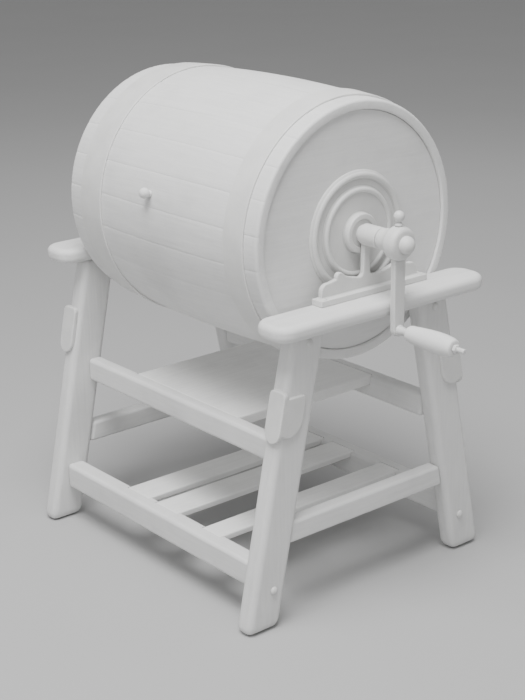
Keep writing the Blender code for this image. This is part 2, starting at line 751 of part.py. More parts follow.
def build_hatch(barrel, staves):
    lid = joint_empty("hatch_joint", (0, 0, 0), barrel)
    boards = hatch_lid(lid, staves)
    hatch_handle(lid)
    hatch_seal(lid)
    low = stave_radius(0.045) - 0.0135
    for end, sy in ENDS.items():
        spot = axle(Matrix.Translation((0, sy * 0.045, -low)) @ Matrix.Rotation(0.26, 4, "Z"))
        boolean(boards, rod_cutter(f"handle_hole_{end}", 0.0045, 0, -0.05, spot, SMALL_ROUND))


def vent_peg(barrel, staves):
    """A ball-headed peg in a small hole in the barrel's side."""
    along, peg_r, ball_r = 0.009, 0.004, 0.0105
    surface = Matrix.Translation((stave_radius(along) + 0.0005, along, 0))
    seat = Matrix.Rotation(math.radians(-166.65), 4, "Y") @ surface @ Matrix.Rotation(math.pi / 2, 4, "Y")
    joint = joint_empty("vent_joint", seat.translation, barrel)
    ball = arc(0, 0.003 + ball_r, ball_r, 90, -62, 7)
    profile = [(0, ball[0][1])] + ball[1:] + [(0.0065, 0.002), (0.0065, 0), (peg_r, 0),
                                             (peg_r - 0.0006, -0.021), (0, -0.021)]
    place("vent_peg", turned_mesh("vent_peg", profile, 16), "turned_beech", joint, seat.to_3x3().to_4x4())
    boolean(staves, rod_cutter("vent_hole", peg_r + 2 * GAP, 0.02, -0.04, axle(seat), 16))


def joint_empty(name, place_at, parent):
    empty = bpy.data.objects.new(name, None)
    PARTS.objects.link(empty)
    empty.parent = parent
    empty.location = place_at
    return empty


def build_barrel(barrel):
    staves = build_staves(barrel)
    for end in ENDS:
        head(end, barrel)
        hoop(end, barrel)
        flange(end, barrel)
        shaft(end, barrel)
    shaft_collar(barrel)
    breaker_boards(barrel)
    build_hatch(barrel, staves)
    vent_peg(barrel, staves)


# ---------------------------------------------------------------- crank

def crank_arm(barrel):
    """A boss that swells to the broad head of a flat arm, which ends in the handle pin's eye."""
    low, high = CRANK_SPAN
    head_in, head_out = CRANK_ARM_Y - 0.009, CRANK_ARM_Y + 0.009
    profile = [(0, high), (0.024, high), (0.029, high - 0.003), (CRANK_BOSS_R, head_out),
               (CRANK_BOSS_R, head_in), (0.0265, head_in - 0.0055), (0.0225, low + 0.019),
               (0.0205, low + 0.004), (0.0200, low), (0, low)]
    boss = turned_mesh("crank_arm", profile, SHAFT_ROUND)
    piece = place("crank_arm", boss, "cast_iron", barrel, barrel_end("front"))
    outline = [(-0.014, 0.006), *arc(0, -CRANK_THROW, 0.0125, 180, 360, 9), (0.014, 0.006)]
    bar = outline_mesh("arm_bar", outline, CRANK_ARM_T)
    bar = place_cutter("arm_bar", bar, upright(AXLE_X, -CRANK_ARM_Y, AXLE_Z))
    soften(bar, 0.0035, 2)
    boolean(piece, bar, "UNION")
    boolean(piece, rod_cutter("shaft_hole", SHAFT_R + GAP, 0.5, 0.3, outward("front")))
    pin = outward("front", AXLE_Z - CRANK_THROW)
    boolean(piece, rod_cutter("pin_hole", PIN_R + GAP, 0.5, 0.3, pin))
    upward = axle(Matrix.Translation((0, -CRANK_ARM_Y, 0)))
    boolean(piece, rod_cutter("screw_hole", 0.0043, 0.1, 0.002, upward, SMALL_ROUND))


def set_screw(barrel):
    """A ball-headed screw that locks the crank on its shaft."""
    joint = joint_empty("set_screw_joint", (0, -CRANK_ARM_Y, 0), barrel)
    ball_r, ball_z, collar_z = 0.0105, 0.0505, CRANK_BOSS_R + 0.0005
    ball = arc(0, ball_z, ball_r, 90, -65, 7)
    profile = [(0, ball[0][1])] + ball[1:] + [(0.0042, collar_z + 0.0055), (0.0075, collar_z + 0.0035),
                                             (0.0075, collar_z), (0.004, collar_z), (0.004, SHAFT_R + GAP),
                                             (0, SHAFT_R + GAP)]
    place("set_screw", turned_mesh("set_screw", profile, 16), "bright_steel", joint)


def ball_nut(barrel):
    low = CRANK_SPAN[1] + GAP
    start = math.degrees(math.asin((low - BALL_NUT_CENTRE) / BALL_NUT_R))
    ball = arc(0, BALL_NUT_CENTRE, BALL_NUT_R, 90, start, 8)
    hole_r, hole_top = SHAFT_R + GAP, 0.4380
    profile = [(0, ball[0][1])] + ball[1:] + [(hole_r, low), (hole_r, hole_top), (0, hole_top)]
    mesh = turned_mesh("ball_nut", profile, SHAFT_ROUND)
    place("ball_nut", mesh, "cast_iron", barrel, barrel_end("front"))


def handle_pin(barrel):
    """Riveted through the arm's eye: a neck, the spindle for the grip, and a thin end."""
    arm_in, arm_out = CRANK_ARM_Y - CRANK_ARM_T / 2, CRANK_ARM_Y + CRANK_ARM_T / 2
    grip_in, grip_out = GRIP_SPAN
    rivet, neck = arm_in - GAP, grip_out + 0.0085
    profile = [(0, PIN_TIP), (0.0030, PIN_TIP), (0.0045, PIN_TIP - 0.002), (0.0048, neck), (PIN_R, neck),
               (PIN_R, grip_in - GAP), (0.0085, grip_in - GAP), (0.0075, arm_out + 0.014),
               (0.0105, arm_out + 0.003), (0.0105, arm_out + GAP), (PIN_R, arm_out + GAP),
               (PIN_R, rivet), (0.0095, rivet), (0.0085, rivet - 0.0025), (0, rivet - 0.0032)]
    matrix = Matrix.Translation((0, 0, -CRANK_THROW)) @ barrel_end("front")
    place("handle_pin", turned_mesh("handle_pin", profile, SHAFT_ROUND), "bright_steel", barrel, matrix)
    nut = ring_profile(PIN_R + 2 * GAP, 0.0090, grip_out + 0.0010, grip_out + 0.0075)
    place("handle_nut", turned_mesh("handle_nut", nut, 12, closed=True), "bright_steel", barrel, matrix)


def grip(barrel):
    """A turned wooden grip that spins on the handle pin."""
    joint = joint_empty("grip_joint", (0, 0, -CRANK_THROW), barrel)
    low, high = GRIP_SPAN
    bore = 0.0061
    length = high - low
    swell = [(1.0, 0.0135), (0.985, 0.0160), (0.93, 0.0180), (0.78, 0.0200), (0.60, 0.0205), (0.42, 0.0195),
             (0.25, 0.0178), (0.10, 0.0165), (0.03, 0.0158), (0.0, 0.0140)]
    profile = [(radius, low + share * length) for share, radius in swell] + [(bore, low), (bore, high)]
    mesh = turned_mesh("grip", profile, SHAFT_ROUND, closed=True)
    place("grip", mesh, "turned_beech", joint, barrel_end("front"))


def build_crank(barrel):
    crank_arm(barrel)
    set_screw(barrel)
    ball_nut(barrel)
    handle_pin(barrel)
    grip(barrel)


# ---------------------------------------------------------------- the churn

def build_churn():
    rails = build_stand()
    build_bearings(rails)
    barrel = joint_empty("barrel_joint", (AXLE_X, 0, AXLE_Z), ROOT)
    build_barrel(barrel)
    build_crank(barrel)


build_churn()
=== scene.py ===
"""Looks of the barrel butter churn: fine versions of its pieces, their materials, light and camera."""

import math

import bmesh
import bpy
from mathutils import Matrix, Vector, noise


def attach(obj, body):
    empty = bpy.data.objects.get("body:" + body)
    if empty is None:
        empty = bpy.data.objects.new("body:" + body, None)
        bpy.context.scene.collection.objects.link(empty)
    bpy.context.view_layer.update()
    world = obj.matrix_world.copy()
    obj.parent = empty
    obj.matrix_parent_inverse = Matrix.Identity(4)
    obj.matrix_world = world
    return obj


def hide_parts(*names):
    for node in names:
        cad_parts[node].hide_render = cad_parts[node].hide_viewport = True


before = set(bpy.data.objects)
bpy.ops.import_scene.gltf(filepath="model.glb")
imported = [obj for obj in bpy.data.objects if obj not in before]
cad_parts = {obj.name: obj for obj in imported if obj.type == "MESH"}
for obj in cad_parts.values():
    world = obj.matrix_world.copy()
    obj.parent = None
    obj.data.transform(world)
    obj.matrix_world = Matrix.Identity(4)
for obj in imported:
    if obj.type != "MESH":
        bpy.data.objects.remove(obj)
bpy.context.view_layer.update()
SCENE = bpy.context.scene
noise.seed_set(5)           # noise_vector takes its seed from the clock without this

# ---------------------------------------------------------------- dimensions, metres

GAP = 0.0003
CENTRE_Y = 0.093            # the barrel's middle
ENDS = {"front": -1, "back": 1}
SIDES = {"left": -1, "right": 1}

AXLE_Z = 0.724
AXLE_X = 0.010
BARREL_HALF = 0.301
CHIME_R = 0.2495
BILGE = 0.013
STAVE_COUNT = 24
STAVE_T = 0.020
HOOP_SPANS = {"front": (0.216, 0.268), "back": (0.175, 0.250)}
HEAD_OUT = 0.295
HEAD_T = 0.018
HATCH_HALF = 0.130
HATCH_ANGLE = math.radians(22)
HATCH_CLEAR = 0.005
VENT_ANGLE = math.radians(-166.65)

SHAFT_R = 0.013
BUSH_R = 0.0166
EYE_R = 0.0205
HUB_OUT = 0.3155
SHOULDER_OUT = 0.3198
BUSH_SPAN = (0.3205, 0.3660)
CRANK_SPAN = (0.3663, 0.4265)
CRANK_BOSS_R = 0.032
CRANK_ARM_Y = 0.4095
CRANK_ARM_T = 0.012
CRANK_THROW = 0.167
GRIP_SPAN = (0.4415, 0.5560)
PIN_TIP = 0.581
PIN_R = 0.006
BALL_NUT_R = 0.0170
BALL_NUT_CENTRE = 0.4290

RAIL_Z = 0.5785
RAIL_T = 0.031
RAIL_W = 0.090
RAIL_LEN = 0.540
RAIL_Y = 0.350
LEG_W = 0.078
LEG_T = 0.042
LEG_Y = 0.338
FOOT_X = 0.280
LEG_SLOPE = 0.2074
UPPER_RAIL = {"x": 0.191, "z": 0.309, "t": 0.032, "h": 0.050}
LOWER_RAIL = {"x": 0.255, "z": 0.0744, "t": 0.040, "h": 0.055}
STRETCHER = {"z": 0.162, "y": 0.336, "t": 0.032, "h": 0.044}
SHELF_T = 0.022
SHELF_HALF = 0.1675
SHELF_LAP = 0.008
SLAT_T = 0.014
SLAT_LAP = 0.013
SLATS = {"back": (0.053, 0.126), "middle": (-0.046, 0.027), "front": (-0.187, -0.130)}
BASE_T = 0.012
BASE_SPAN = (0.3135, 0.3420)
BRACKET_PLATE_T = 0.010
BRACKET_Y = 0.322
BRACKET_HALF = 0.138
POST_SHIFT = 0.010          # the bracket's middle is this far right of its post

TO_WORLD = Matrix.Translation((0, CENTRE_Y, 0))


# ---------------------------------------------------------------- materials

def node(tree, kind, **values):
    made = tree.nodes.new(kind)
    for key, value in values.items():
        if key in made.inputs:
            made.inputs[key].default_value = value
        else:
            setattr(made, key, value)
    return made


def mapped_noise(tree, stretch, scale, detail=6.0, rough=0.55, distortion=0.0):
    """Noise in the piece's own space, drawn out along one axis by a small stretch value."""
    coords = node(tree, "ShaderNodeTexCoord")
    mapping = node(tree, "ShaderNodeMapping")
    mapping.inputs["Scale"].default_value = stretch
    tree.links.new(coords.outputs["Object"], mapping.inputs["Vector"])
    made = node(tree, "ShaderNodeTexNoise", Scale=scale, Detail=detail, Roughness=rough,
                Distortion=distortion)
    tree.links.new(mapping.outputs["Vector"], made.inputs["Vector"])
    return made.outputs["Fac"]


def ramp(tree, value, low, high, dark=0.0, light=1.0):
    """Stretch a value's range to dark..light, limited at both ends."""
    made = node(tree, "ShaderNodeMapRange")
    for key, amount in zip(("From Min", "From Max", "To Min", "To Max"), (low, high, dark, light)):
        made.inputs[key].default_value = amount
    tree.links.new(value, made.inputs["Value"])
    return made.outputs["Result"]


def calc(tree, operation, a, b):
    made = node(tree, "ShaderNodeMath", operation=operation)
    for socket, value in zip(made.inputs, (a, b)):
        if isinstance(value, (int, float)):
            socket.default_value = value
        else:
            tree.links.new(value, socket)
    return made.outputs["Value"]


def mix(tree, amount, first, second):
    """Mix two colours, each a tuple or a socket."""
    made = node(tree, "ShaderNodeMix", data_type="RGBA")
    tree.links.new(amount, made.inputs["Factor"])
    for socket, value in ((made.inputs["A"], first), (made.inputs["B"], second)):
        if isinstance(value, tuple):
            socket.default_value = (*value, 1)
        else:
            tree.links.new(value, socket)
    return made.outputs["Result"]


def attribute(tree, name):
    return node(tree, "ShaderNodeAttribute", attribute_name=name).outputs["Fac"]


def bump(tree, shader, layers):
    """Chain bump nodes from (height, depth in metres) pairs."""
    last = None
    for height, depth in layers:
        made = node(tree, "ShaderNodeBump", Distance=depth, Strength=1.0)
        tree.links.new(height, made.inputs["Height"])
        if last:
            tree.links.new(last, made.inputs["Normal"])
        last = made.outputs["Normal"]
    tree.links.new(last, shader.inputs["Normal"])


def new_material(name):
    material = bpy.data.materials.new(name)
    material.use_nodes = True
    tree = material.node_tree
    return material, tree, tree.nodes["Principled BSDF"]


GRAIN = {"X": (0.05, 1, 1), "Y": (1, 0.05, 1), "Z": (1, 1, 0.05)}


def painted_wood(name, along, base, streak=0.5):
    """Old pale paint over wood: the grain shows through, the edges are rubbed and the concave corners get
    painted shade.
    """
    material, tree, shader = new_material(name)
    stretch = GRAIN[along]
    grain = mapped_noise(tree, stretch, 150, 8, 0.65, 0.4)
    fibre = mapped_noise(tree, stretch, 620, 4, 0.6)
    patches = mapped_noise(tree, (1, 1, 1), 7, 4, 0.6)
    speck = mapped_noise(tree, (1, 1, 1), 260, 3, 0.6)
    darker = tuple(c * 0.80 for c in base)
    lighter = tuple(min(1, c * 1.10) for c in base)
    colour = mix(tree, ramp(tree, grain, 0.36, 0.66, 0, streak), base, darker)
    colour = mix(tree, ramp(tree, patches, 0.38, 0.66, 0, 0.42), colour, lighter)
    colour = mix(tree, ramp(tree, patches, 0.46, 0.28, 0, 0.30), colour, darker)
    rubbed = calc(tree, "MULTIPLY", attribute(tree, "edge"), ramp(tree, grain, 0.40, 0.60, 0.25, 1))
    colour = mix(tree, calc(tree, "MULTIPLY", rubbed, 0.55), colour, lighter)
    # painted shade: concave corners and stave seams darkened in the colour, in place of occlusion shading
    cavity_shade = calc(tree, "MULTIPLY", attribute(tree, "cavity"), 0.15)
    colour = mix(tree, cavity_shade, colour, tuple(c * 0.70 for c in base))
    colour = mix(tree, ramp(tree, speck, 0.68, 0.74, 0, 0.35), colour, tuple(c * 0.70 for c in base))
    tree.links.new(colour, shader.inputs["Base Color"])
    rough = calc(tree, "SUBTRACT", ramp(tree, patches, 0.3, 0.7, 0.68, 0.54),
                 calc(tree, "MULTIPLY", rubbed, 0.12))
    tree.links.new(rough, shader.inputs["Roughness"])
    shader.inputs["Specular IOR Level"].default_value = 0.35
    bump(tree, shader, [(grain, 0.00045), (fibre, 0.00012), (patches, 0.0012)])
    return material


def painted_iron(name, base, rough_base=0.50, pits=0.0003, metallic=0.0):
    """Pale paint over iron, thin on the edges."""
    material, tree, shader = new_material(name)
    skin = mapped_noise(tree, (1, 1, 1), 320, 6, 0.6)
    cloud = mapped_noise(tree, (1, 1, 1), 22, 4, 0.6)
    fine = mapped_noise(tree, (1, 1, 1), 1100, 2, 0.5)
    colour = mix(tree, ramp(tree, cloud, 0.34, 0.68, 0, 0.5), base, tuple(c * 0.84 for c in base))
    colour = mix(tree, ramp(tree, skin, 0.60, 0.74, 0, 0.4), colour, tuple(c * 0.72 for c in base))
    rubbed = calc(tree, "MULTIPLY", attribute(tree, "edge"), ramp(tree, skin, 0.38, 0.58, 0.2, 1))
    colour = mix(tree, calc(tree, "MULTIPLY", rubbed, 0.5), colour, tuple(min(1, c * 1.16) for c in base))
    # painted shade: concave corners darkened in the colour, in place of occlusion shading
    cavity_shade = calc(tree, "MULTIPLY", attribute(tree, "cavity"), 0.5)
    colour = mix(tree, cavity_shade, colour, tuple(c * 0.60 for c in base))
    tree.links.new(colour, shader.inputs["Base Color"])
    rough = calc(tree, "SUBTRACT", ramp(tree, cloud, 0.3, 0.7, rough_base + 0.07, rough_base - 0.05),
                 calc(tree, "MULTIPLY", rubbed, 0.10))
    tree.links.new(rough, shader.inputs["Roughness"])
    shader.inputs["Metallic"].default_value = metallic
    bump(tree, shader, [(skin, pits), (fine, 0.00006), (cloud, 0.0006)])
    return material


def rubber(name, base):
    material, tree, shader = new_material(name)
    skin = mapped_noise(tree, (1, 1, 1), 240, 5, 0.6)
    colour = mix(tree, ramp(tree, skin, 0.35, 0.65, 0, 0.6), base, tuple(c * 0.78 for c in base))
    tree.links.new(colour, shader.inputs["Base Color"])
    tree.links.new(ramp(tree, skin, 0.3, 0.7, 0.85, 0.65), shader.inputs["Roughness"])
    bump(tree, shader, [(skin, 0.0002)])
    return material


PALE = (0.70, 0.70, 0.695)
WOOD = {axis: painted_wood(f"stand_wood_{axis}", axis, PALE) for axis in "XYZ"}
# painted light: the shelf and slats get the stand's paint made lighter, to brighten them in the shade under
# the barrel
BOARD_LIGHTENED = painted_wood("board_wood_painted_light", "X", (0.80, 0.80, 0.79), 0.40)
STAVE = painted_wood("stave_wood", "Y", (0.72, 0.72, 0.715), 0.42)
HEAD = painted_wood("head_wood", "X", (0.73, 0.73, 0.725), 0.34)
GRIP_WOOD = painted_wood("grip_wood", "Y", (0.72, 0.72, 0.715), 0.30)
HOOP = painted_iron("hoop_iron", (0.70, 0.70, 0.69), 0.48, 0.00018)
CAST = painted_iron("cast_iron", (0.68, 0.68, 0.67), 0.52, 0.00035)
STEEL = painted_iron("plain_steel", (0.66, 0.66, 0.655), 0.42, 0.00012)
FIXING = painted_iron("fixings", (0.64, 0.64, 0.63), 0.48, 0.0002)
BRONZE = painted_iron("bronze", (0.60, 0.57, 0.50), 0.40, 0.0001, 0.4)
RUBBER = rubber("seal_rubber", (0.50, 0.49, 0.47))


# ---------------------------------------------------------------- mesh building

def mesh_piece(name, bm, matrix=TO_WORLD):
    """A new object from a bmesh built in the churn's own frame, set down in the row frame."""
    bmesh.ops.transform(bm, matrix=matrix, verts=bm.verts)
    bmesh.ops.recalc_face_normals(bm, faces=bm.faces)
    mesh = bpy.data.meshes.new(name)
    bm.to_mesh(mesh)
    bm.free()
    piece = bpy.data.objects.new(name, mesh)
    SCENE.collection.objects.link(piece)
    return piece


def modify(piece, kind, **values):
    modifier = piece.modifiers.new(kind, kind)
    for key, value in values.items():
        setattr(modifier, key, value)
    return modifier


def round_edges(piece, width, segments=4, angle=35):
    modify(piece, "BEVEL", width=width, segments=segments, limit_method="ANGLE",
           angle_limit=math.radians(angle), use_clamp_overlap=True)


def cut(piece, tool, operation="DIFFERENCE"):
    modify(piece, "BOOLEAN", object=tool, operation=operation, solver="EXACT")


def bake_modifiers(piece):
    graph = bpy.context.evaluated_depsgraph_get()
    graph.update()
    mesh = bpy.data.meshes.new_from_object(piece.evaluated_get(graph))
    piece.modifiers.clear()
    piece.data = mesh
    return mesh


def drop(*tools):
    for tool in tools:
        bpy.data.objects.remove(tool)


def mark_edges(mesh, sharpest=1 / 0.004):
    """Store how sharply the surface bends outwards (edge) and inwards (cavity) at each point."""
    bm = bmesh.new()
    bm.from_mesh(mesh)
    out, into = [0.0] * len(bm.verts), [0.0] * len(bm.verts)
    for edge in bm.edges:
        if len(edge.link_faces) != 2:
            continue
        first, second = (face.calc_center_median() for face in edge.link_faces)
        bend = edge.calc_face_angle_signed(0) / max((first - second).length, 1e-5) / sharpest
        for vert in edge.verts:
            out[vert.index] = max(out[vert.index], min(1, bend))
            into[vert.index] = max(into[vert.index], min(1, -bend))
    bm.free()
    for name, values in (("edge", out), ("cavity", into)):
        layer = mesh.attributes.new(name, "FLOAT", "POINT")
        layer.data.foreach_set("value", values)


def finish_piece(piece, body, material, nodes, smooth=50, weighted=True):
    """Apply the modifiers, smooth, colour and hang the piece on its body."""
    mesh = bake_modifiers(piece)
    mesh.shade_smooth()
    mesh.set_sharp_from_angle(angle=math.radians(smooth))
    mark_edges(mesh)
    if weighted:
        modify(piece, "WEIGHTED_NORMAL", keep_sharp=True)
        bake_modifiers(piece)
    piece.data.materials.clear()
    piece.data.materials.append(material)
    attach(piece, body)
    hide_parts(*nodes)
    return piece


def rounded(points, radius, count=4, closed=True):
    """Replace each corner of a polygon, or of an open line, by a short smooth curve."""
    made = []
    total = len(points)
    for i, point in enumerate(points):
        if not closed and i in (0, total - 1):
            made.append(tuple(point))
            continue
        corner = Vector(point)
        before, after = Vector(points[i - 1]) - corner, Vector(points[(i + 1) % total]) - corner
        reach = min(radius, before.length * 0.48, after.length * 0.48)
        start, stop = corner + before.normalized() * reach, corner + after.normalized() * reach
        for j in range(count + 1):
            s = j / count
            made.append(tuple(start * (1 - s) ** 2 + corner * 2 * s * (1 - s) + stop * s ** 2))
    return made


def arc(cx, cy, radius, start, stop, count):
    angles = [math.radians(start + (stop - start) * i / (count - 1)) for i in range(count)]
    return [(cx + radius * math.cos(a), cy + radius * math.sin(a)) for a in angles]


def lathe(bm, profile, steps=96, closed=True, matrix=Matrix()):
    """Turn (radius, height) points round Z into a closed skin.

    A profile that isn't closed starts and ends on the axis.
    """
    rings = []
    for radius, height in profile:
        if radius < 1e-6:
            rings.append([bm.verts.new(matrix @ Vector((0, 0, height)))] * steps)
            continue
        angles = [2 * math.pi * i / steps for i in range(steps)]
        rings.append([bm.verts.new(matrix @ Vector((radius * math.cos(a), radius * math.sin(a), height)))
                      for a in angles])
    pairs = list(zip(rings, rings[1:])) + ([(rings[-1], rings[0])] if closed else [])
    for upper, lower in pairs:
        for i in range(steps):
            j = (i + 1) % steps
            corners = list(dict.fromkeys((upper[i], lower[i], lower[j], upper[j])))
            if len(corners) > 2:
                bm.faces.new(corners)
    return bm


def slab(bm, outline, low, high, matrix=Matrix()):
    """Extrude an outline in X and Y between two heights."""
    face = bm.faces.new([bm.verts.new((x, y, low)) for x, y in outline])
    raised = bmesh.ops.extrude_face_region(bm, geom=[face])["geom"]
    top = [item for item in raised if isinstance(item, bmesh.types.BMVert)]
    bmesh.ops.translate(bm, verts=top, vec=(0, 0, high - low))
    every = [vert for vert in face.verts] + top
    bmesh.ops.transform(bm, matrix=matrix, verts=every)
    return bm


def block(bm, low, high, matrix=Matrix()):
    made = bmesh.ops.create_cube(bm, size=1)["verts"]
    low, high = Vector(low), Vector(high)
    for vert in made:
        vert.co = matrix @ Vector([a + (c + 0.5) * (b - a) for a, b, c in zip(low, high, vert.co)])
    return bm


def axle(matrix=Matrix()):
    """From the middle of the barrel's axis."""
    return Matrix.Translation((AXLE_X, 0, AXLE_Z)) @ matrix


def outward(end, z=AXLE_Z):
    return Matrix.Translation((AXLE_X, 0, z)) @ Matrix.Rotation(-ENDS[end] * math.pi / 2, 4, "X")


def upright(x=0.0, y=0.0, z=0.0):
    return Matrix.Translation((x, y, z)) @ Matrix.Rotation(math.pi / 2, 4, "X")


def facing(end, x, y, z):
    return Matrix.Translation((x, ENDS[end] * y, z)) @ Matrix.Rotation(-ENDS[end] * math.pi / 2, 4, "X")


def box_tool(name, low, high):
    return mesh_piece(name, block(bmesh.new(), low, high))


def bore_tool(radius, span, steps, matrix):
    """A round rod that cuts a hole along Z between two heights."""
    low, high = span
    profile = [(0, high), (radius, high), (radius, low), (0, low)]
    return mesh_piece("bore", lathe(bmesh.new(), profile, steps, closed=False, matrix=matrix))


# ---------------------------------------------------------------- stand

def beam(name, low, high, along, radius, place=None, wave=0.0005, seed=0.0):
    """A sawn and planed piece: slightly uneven faces, rounded edges."""
    axis = "XYZ".index(along)
    bm = bmesh.new()
    block(bm, low, high)
    long_edges = [e for e in bm.edges if abs((e.verts[0].co - e.verts[1].co)[axis]) > 1e-5]
    cuts = max(4, int((high[axis] - low[axis]) / 0.035))
    bmesh.ops.subdivide_edges(bm, edges=long_edges, cuts=cuts, use_grid_fill=True)
    offset = Vector((seed, 2.7 * seed, 5.1 * seed))
    for vert in bm.verts:
        vert.co += noise.noise_vector(vert.co * 9 + offset) * wave
        if place:
            vert.co = place(vert.co)
    piece = mesh_piece(name, bm)
    round_edges(piece, radius, 4, 50)
    return piece


def leg_centre(z):
    return FOOT_X - LEG_SLOPE * z


def leg_space(side, end):
    sx, sy = SIDES[side], ENDS[end]
    lean = Matrix.Identity(4)
    lean[0][0], lean[0][2], lean[0][3] = sx, -sx * LEG_SLOPE, sx * FOOT_X
    lean[1][1], lean[1][3] = sy, sy * LEG_Y
    return lean


def bevel_shares(mesh):
    """How much of a leg's rounding each edge gets: all of it round the foot, less up the corners."""
    bm = bmesh.new()
    bm.from_mesh(mesh)
    shares = []
    for edge in bm.edges:
        at_foot = all(vert.co.z < 0.01 for vert in edge.verts)
        sharp = edge.calc_face_angle(0) > math.radians(50)
        shares.append((1.0 if at_foot else 0.7) if sharp else 0.0)
    bm.free()
    return shares


def build_leg(side, end):
    space = leg_space(side, end)
    name = f"leg_{end}_{side}"
    seed = 3 * SIDES[side] + ENDS[end]
    low, high = (-LEG_W / 2, -LEG_T / 2, 0.0), (LEG_W / 2, LEG_T / 2, RAIL_Z - GAP)
    piece = beam(name, low, high, "Z", 0.0185, lambda co: space @ co, 0.0006, seed)
    mesh = piece.data
    for vert in mesh.vertices:
        if vert.co.z < 0.01:
            vert.co.z = 0.0
    weights = mesh.attributes.new("bevel_weight_edge", "FLOAT", "EDGE")
    for edge, share in zip(mesh.edges, bevel_shares(mesh)):
        weights.data[edge.index].value = share
    piece.modifiers["BEVEL"].limit_method = "WEIGHT"
    finish_piece(piece, "stand", WOOD["Z"], [name])


def rail_outline():
    corner, half_x, half_y = 0.036, RAIL_LEN / 2, RAIL_W / 2
    points = []
    for turn, (sx, sy) in enumerate([(1, 1), (-1, 1), (-1, -1), (1, -1)]):
        points += arc(sx * (half_x - corner), sy * (half_y - corner), corner, 90 * turn, 90 * turn + 90, 12)
    return points


def build_top_rail(end):
    name = f"{end}_top_rail"
    bm = slab(bmesh.new(), rail_outline(), RAIL_Z, RAIL_Z + RAIL_T,
              Matrix.Translation((AXLE_X, ENDS[end] * RAIL_Y, 0)))
    piece = mesh_piece(name, bm)
    round_edges(piece, 0.0125, 7, 60)
    finish_piece(piece, "stand", WOOD["X"], [name])


def seat_tools(spec, thickness, lap, spans, side):
    """Boxes that notch a side rail for the boards let into it."""
    sx, top = SIDES[side], spec["z"] + spec["h"]
    inner = spec["x"] - spec["t"] / 2
    tools = []
    for low_y, high_y in spans:
        xs = sorted((sx * (inner - 0.01), sx * (inner + lap)))
        tools.append(box_tool("seat", (xs[0], low_y - 0.0006, top - thickness - 0.0006),
                              (xs[1], high_y + 0.0006, top + 0.02)))
    return tools


def build_side_rail(side, level, spec, thickness, lap, spans):
    name = f"{level}_side_rail_{side}"
    sx, reach = SIDES[side], LEG_Y - LEG_T / 2 - GAP
    low = (sx * spec["x"] - spec["t"] / 2, -reach, spec["z"])
    high = (sx * spec["x"] + spec["t"] / 2, reach, spec["z"] + spec["h"])
    piece = beam(name, low, high, "Y", 0.0085, seed=spec["x"] * 40 + sx)
    tools = seat_tools(spec, thickness, lap, spans, side)
    for tool in tools:
        cut(piece, tool)
    finish_piece(piece, "stand", WOOD["Y"], [name], smooth=40)
    drop(*tools)


def build_stretcher(end):
    spec, name = STRETCHER, f"{end}_stretcher"
    y = ENDS[end] * spec["y"]

    def shoulder(co):
        inner = leg_centre(co.z) - LEG_W / 2 - GAP
        return Vector((co.x * inner, co.y, co.z))

    piece = beam(name, (-1, y - spec["t"] / 2, spec["z"]), (1, y + spec["t"] / 2, spec["z"] + spec["h"]),
                 "X", 0.0085, shoulder, 0.0004, ENDS[end])
    finish_piece(piece, "stand", WOOD["X"], [name])


def build_board(name, spec, thickness, lap, span, radius):
    top = spec["z"] + spec["h"]
    reach = spec["x"] - spec["t"] / 2 + lap - GAP
    piece = beam(name, (-reach, span[0], top - thickness), (reach, span[1], top), "X", radius,
                 wave=0.0004, seed=span[0] * 30)
    # the boards take the lightened paint: painted light against the barrel's shade
    finish_piece(piece, "stand", BOARD_LIGHTENED, [name])


def pendant(width, bottom, top):
    half, corner = width / 2, 0.009
    points = arc(half - corner, top - corner, corner, 0, 90, 6)
    points += arc(-half + corner, top - corner, corner, 90, 180, 6)
    points += arc(0, bottom + half, half, 180, 360, 25)
    return points


def cast_skin(piece, voxel, passes=6):
    """Melt overlapping solids into one casting with soft fillets."""
    modify(piece, "REMESH", mode="VOXEL", voxel_size=voxel)
    modify(piece, "SMOOTH", factor=0.5, iterations=passes)


def build_corner_plate(side, end):
    """A cast plate round the leg's outer corner, with a round lower end on each face."""
    space = leg_space(side, end)
    name = f"corner_plate_{end}_{side}"
    half_w, half_t = LEG_W / 2 - 0.002, LEG_T / 2 - 0.002
    side_t, face_t = 0.0100, 0.0088
    side_w, face_w = 0.043, 0.056
    bm = bmesh.new()
    side_turn = Matrix(((0, 0, 1, half_w), (1, 0, 0, half_t + face_t - side_w / 2),
                        (0, 1, 0, 0), (0, 0, 0, 1)))
    slab(bm, pendant(side_w, 0.3765, 0.4745), 0, side_t, space @ side_turn)
    face_turn = Matrix(((1, 0, 0, half_w + side_t - face_w / 2), (0, 0, 1, half_t),
                        (0, 1, 0, 0), (0, 0, 0, 1)))
    slab(bm, pendant(face_w, 0.3855, 0.4625), 0, face_t, space @ face_turn)
    piece = mesh_piece(name, bm)
    cast_skin(piece, 0.0011, 26)
    finish_piece(piece, "stand", CAST, [name], weighted=False)


def screw_piece(name, matrix, head_r, head_h, body, slotted):
    """A domed head with a short shank, slotted or plain."""
    profile = [(head_r * math.cos(a), head_h * math.sin(a)) for a in
               [math.pi / 2 * (1 - i / 7) for i in range(8)]]
    profile += [(head_r * 0.96, -0.0002), (head_r * 0.45, -0.0002), (head_r * 0.45, -0.004), (0, -0.004)]
    bm = lathe(bmesh.new(), profile, 32, closed=False, matrix=matrix @ Matrix.Translation((0, 0, GAP)))
    piece = mesh_piece(name, bm)
    tools = []
    if slotted:
        low, high = (-head_r * 1.2, -0.0006, head_h * 0.45), (head_r * 1.2, 0.0006, head_h * 1.5)
        tools.append(mesh_piece("slot", block(bmesh.new(), low, high, matrix)))
        cut(piece, tools[0])
    finish_piece(piece, body, FIXING, [name], smooth=35)
    drop(*tools)


